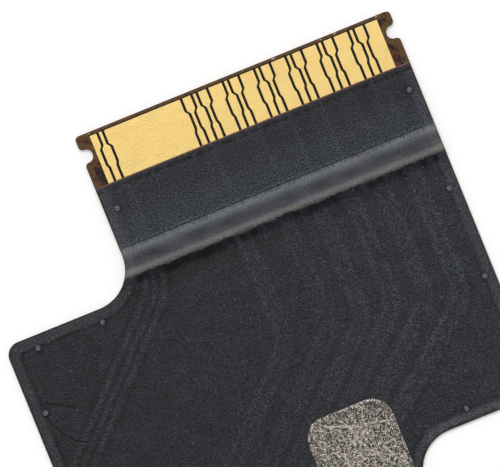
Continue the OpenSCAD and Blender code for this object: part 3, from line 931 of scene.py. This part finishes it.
PAD_R = 0.8
PAD_STEP = 0.05                       # along the pad's outline
FELT_STEP = 0.04                      # grid of the felt's top
FELT_BELOW = 0.035                    # the felt lies this far below the uppermost fibres
FELT_ROUGH = 0.006
NIB = 0.33                            # how far each top corner's burr stands from the side
NIB_IN = 0.03
FIBRE_R = 0.017
FIBRE_LIE = math.radians(-72)         # half the fibres lie near this heading
FIBRES = 900
FIBRE_STEP = 0.07
FIBRE_L = (0.25, 1.3)
FIBRE_DEEP = 0.035                    # the deepest fibre, below the uppermost
FIBRE_WAVE = 0.008
LONG_FIBRES = 48
LONG_STEP = 0.08
LONG_REACH = 1.6                      # to both sides of a long fibre's middle
LONG_DEEP = 0.006
LONG = 1.4                            # a fibre longer than this is a bright one
EDGE_FIBRES = 110
EDGE_INSET = (0.02, 0.07)
EDGE_DEEP = (0.004, 0.03)


def pad_outline(step):
    """Rounded square with a small burr where each top corner was cut."""
    x0, y0 = PAD_LOW[:2]
    x1, y1 = PAD_HIGH[:2]
    path = rounded([(x1, y1, PAD_R), (x0, y1, PAD_R), (x0, y0, PAD_R), (x1, y0, PAD_R)], step)
    for tip in ((x0 + NIB, y1 - NIB_IN), (x1 - NIB_IN, y1 - NIB)):
        pull = dip(np.hypot(*(path - tip).T) - 0.07, 0.045)[:, None]
        path = path + pull * (tip - path)
    return path


def pad_base(material):
    """The felt under the fibres."""
    outline = pad_outline(PAD_STEP)
    xs = np.arange(PAD_LOW[0], PAD_HIGH[0], FELT_STEP)
    ys = np.arange(PAD_LOW[1], PAD_HIGH[1], FELT_STEP)
    points = within(grid(xs, ys), outline, 0.02)

    def top(plan):
        rough = 0.5 * ripple(plan, 0.14, 5) + 0.5 * ripple(plan, 0.3, 6)
        return PAD_HIGH[2] - FELT_BELOW + FELT_ROUGH * np.clip(rough, -2, 2), {}

    def under(plan):
        return np.full(len(plan), PAD_LOW[2])

    mesh = sheet_mesh("ground_pad_felt", outline, points, top, under, points[::40])
    return place(mesh, "ground_pad_felt", material, "conductive_fibre", "ground_pad")


def fibre_paths():
    """Gently bent fibres that lie across the pad in all directions and end at its edge, then long
    ones over them, and others along the pad's edge."""
    outline = pad_outline(PAD_STEP)
    top = PAD_HIGH[2] - FIBRE_R
    middle, half = (PAD_LOW[:2] + PAD_HIGH[:2]) / 2, (PAD_HIGH[:2] - PAD_LOW[:2]) / 2
    paths = []
    for _ in range(FIBRES):
        start = middle + RNG.uniform(-1, 1, 2) * half
        turn = FIBRE_LIE + RNG.normal(0, 0.5) if RNG.uniform() < 0.5 else RNG.uniform(0, 2 * math.pi)
        bend, length = RNG.normal(0, 0.9), RNG.uniform(*FIBRE_L)
        steps = np.arange(0, length, FIBRE_STEP)
        headings = turn + bend * steps
        ahead = np.column_stack([np.cos(headings), np.sin(headings)])
        plan = start + FIBRE_STEP * ahead.cumsum(axis=0)
        level = top - RNG.uniform(0, FIBRE_DEEP)
        wave = FIBRE_WAVE * np.sin(steps * RNG.uniform(5, 12) + RNG.uniform(0, 6))
        keep = inside(plan, outline) & (distance_to(plan, outline, closed=True) > FIBRE_R)
        stop = len(keep) if keep.all() else int(np.argmin(keep))
        if stop > 2:
            paths.append(np.column_stack([plan, np.minimum(level + wave, top)])[:stop])
    for _ in range(LONG_FIBRES):
        turn = FIBRE_LIE + RNG.choice((0, 0, 0.8, -0.8)) + RNG.normal(0, 0.2)
        middle_at = middle + RNG.uniform(-0.8, 0.8, 2) * half
        steps = np.arange(-LONG_REACH, LONG_REACH, LONG_STEP)
        headings = turn + RNG.normal(0, 0.12) * steps
        plan = middle_at + steps[:, None] * np.column_stack([np.cos(headings), np.sin(headings)])
        keep = inside(plan, outline) & (distance_to(plan, outline, closed=True) > FIBRE_R)
        level = top - RNG.uniform(0, LONG_DEEP)
        if keep.sum() > 3:
            paths.append(np.column_stack([plan, np.full(len(plan), level)])[keep])
    rim, _ = resampled(np.concatenate([outline, outline[:1]]), FIBRE_STEP)
    for _ in range(EDGE_FIBRES):
        start, count, inset = RNG.integers(len(rim)), RNG.integers(4, 12), RNG.uniform(*EDGE_INSET)
        plan = middle + (np.roll(rim, -start, axis=0)[:count] - middle) * (1 - inset / half)
        level = top - RNG.uniform(*EDGE_DEEP)
        paths.append(np.column_stack([plan, np.full(count, level)]))
    return paths


def tubes_mesh(name, paths, radius, sides=4):
    """Closed tubes along paths, in one mesh, with the long ones marked bright."""
    vertices, faces, bright = [], [], []
    for path in paths:
        base, n = len(vertices), len(path)
        bright += [float(n * np.hypot(*(path[1] - path[0])[:2]) > LONG)] * (n * sides)
        forward = np.gradient(path, axis=0)
        forward /= np.linalg.norm(forward, axis=1)[:, None]
        across = np.cross(forward, (0, 0, 1))
        across /= np.linalg.norm(across, axis=1)[:, None]
        up = np.cross(across, forward)
        thick = radius * RNG.uniform(0.75, 1.0)
        for i in range(n):
            for j in range(sides):
                turn = 2 * math.pi * j / sides
                out = across[i] * math.cos(turn) + up[i] * math.sin(turn)
                vertices.append(path[i] + thick * out)
        for i in range(n - 1):
            for j in range(sides):
                a, b = base + i * sides + j, base + i * sides + (j + 1) % sides
                faces.append([a, b, b + sides, a + sides])
        faces.append([base + j for j in reversed(range(sides))])
        faces.append([base + (n - 1) * sides + j for j in range(sides)])
    mesh = bpy.data.meshes.new(name)
    mesh.from_pydata((np.array(vertices) * MM).tolist(), [], faces)
    mesh.polygons.foreach_set("use_smooth", np.ones(len(mesh.polygons), bool))
    attribute = mesh.attributes.new("bright", "FLOAT", "POINT")
    attribute.data.foreach_set("value", np.array(bright, np.float32))
    mesh.update()
    return mesh


# ---------------------------------------------------------------- stage


VIEW_X, VIEW_Y = 1.028, 5.505         # the view's middle
VIEW_W = 17.75                        # width of cable in view
VIEW_TURN = -22.11
CAMERA_H = 300.0
SENSOR_W = 36.0
WORLD_LOW = math.sin(math.radians(15))            # heights between which the world's light changes
WORLD_HIGH = math.sin(math.radians(35))
FLOOR_HALF = 600                      # the floor reaches this far from the middle
FLOOR_BELOW = 0.002                   # and lies this far under the cable
FLOOR_ALBEDO = 0.82
FLOOR_GLOW = 0.3


def make_camera():
    """Camera straight above, as the cable is seen in the photograph."""
    data = bpy.data.cameras.new("camera")
    data.sensor_width = SENSOR_W
    data.lens = SENSOR_W * (CAMERA_H - PAD_LOW[2]) / VIEW_W
    data.clip_start, data.clip_end = 0.01, 10.0
    camera = bpy.data.objects.new("camera", data)
    camera.location = (VIEW_X * MM, VIEW_Y * MM, CAMERA_H * MM)
    camera.rotation_euler = (0, 0, math.radians(VIEW_TURN))
    bpy.context.scene.collection.objects.link(camera)
    bpy.context.scene.camera = camera


def make_softbox(name, azimuth, tilt, distance, width, height, radiance):
    """Area lamp that faces the cable from a distance, tilted from overhead. Sizes are in metres."""
    data = bpy.data.lights.new(name, "AREA")
    data.shape = "RECTANGLE"
    data.size, data.size_y = width, height
    data.energy = radiance * math.pi * width * height
    lamp = bpy.data.objects.new(name, data)
    a, t = math.radians(azimuth), math.radians(tilt)
    toward = Vector((math.sin(a) * math.sin(t), math.cos(a) * math.sin(t), math.cos(t)))
    lamp.location = toward * distance
    lamp.rotation_euler = toward.to_track_quat("Z", "Y").to_euler()
    lamp.visible_camera = False
    bpy.context.scene.collection.objects.link(lamp)


def make_world(low, high):
    """Plain studio, white near the horizon and dimmer overhead, so that glossy slopes keep their shape."""
    world = bpy.data.worlds.new("studio")
    bpy.context.scene.world = world
    world.use_nodes = True
    tree = world.node_tree
    parts = tree.nodes.new("ShaderNodeSeparateXYZ")
    tree.links.new(tree.nodes.new("ShaderNodeTexCoord").outputs["Generated"], parts.inputs[0])
    fade = tree.nodes.new("ShaderNodeMapRange")
    tree.links.new(parts.outputs[2], fade.inputs[0])
    for socket, number in zip(fade.inputs[1:5], (WORLD_LOW, WORLD_HIGH, low, high)):
        socket.default_value = number
    background = tree.nodes["Background"]
    background.inputs["Color"].default_value = (1, 1, 1, 1)
    tree.links.new(fade.outputs[0], background.inputs["Strength"])


def make_floor():
    """Pale floor that shows white and keeps the cable's shadow."""
    mesh = bpy.data.meshes.new("floor")
    signs = ((-1, -1), (1, -1), (1, 1), (-1, 1))
    corners = [(x * FLOOR_HALF * MM, y * FLOOR_HALF * MM, -FLOOR_BELOW * MM) for x, y in signs]
    mesh.from_pydata(corners, [], [[0, 1, 2, 3]])
    floor = bpy.data.objects.new("floor", mesh)
    bpy.context.scene.collection.objects.link(floor)
    look = Look("floor")
    look.set(Base_Color=(FLOOR_ALBEDO,) * 3 + (1,), Roughness=0.9, Specular_IOR_Level=0.0)
    look.shader.inputs["Emission Color"].default_value = (1, 1, 1, 1)
    rays = look.new("ShaderNodeLightPath").outputs
    seen = look.math("MAXIMUM", rays["Is Camera Ray"], rays["Is Glossy Ray"])
    seen = look.math("MAXIMUM", seen, rays["Is Transmission Ray"])
    look.feed(look.shader.inputs["Emission Strength"], look.math("MULTIPLY", seen, FLOOR_GLOW))
    mesh.materials.append(look.material)


# ---------------------------------------------------------------- the scene


bpy.context.scene.view_settings.view_transform = "Standard"
make_camera()
make_world(1.0, 0.3)
make_softbox("key", azimuth=0, tilt=24, distance=0.5, width=0.42, height=0.22, radiance=5.0)
make_floor()

film = shield_film_look()
gold = gold_look()
finishes = {
    "base_film": (polyimide_look(), "polyimide_base"),
    "front_coverlay": (coverlay_look(), "coverlay"),
    "upper_stiffener": (stiffener_look(), "stiffener"),
    "ground_pour": (copper_look(), "copper"),
}
finishes["rear_coverlay"] = finishes["front_coverlay"]
finishes["lower_stiffener"] = finishes["upper_stiffener"]
finishes["ground_vias"] = finishes["rear_ground_plane"] = finishes["ground_pour"]
finishes["rear_shield_film"] = (film, "shield_film")
for name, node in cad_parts.items():
    material, slot = finishes.get(name, (gold, "gold_plated_copper"))
    node.data.materials.clear()
    node.data.materials.append(material)

front_film(film)
felt = fibre_look("felt_base", (0.30, 0.28, 0.24, 1), (0.02, 0.02, 0.02, 1))
strands = fibre_look("metal_fibre", (0.93, 0.84, 0.745, 1), (0.026, 0.025, 0.024, 1))
pad_base(felt)
fibres = tubes_mesh("ground_pad_fibres", fibre_paths(), FIBRE_R)
place(fibres, "ground_pad_fibres", strands, "conductive_fibre")
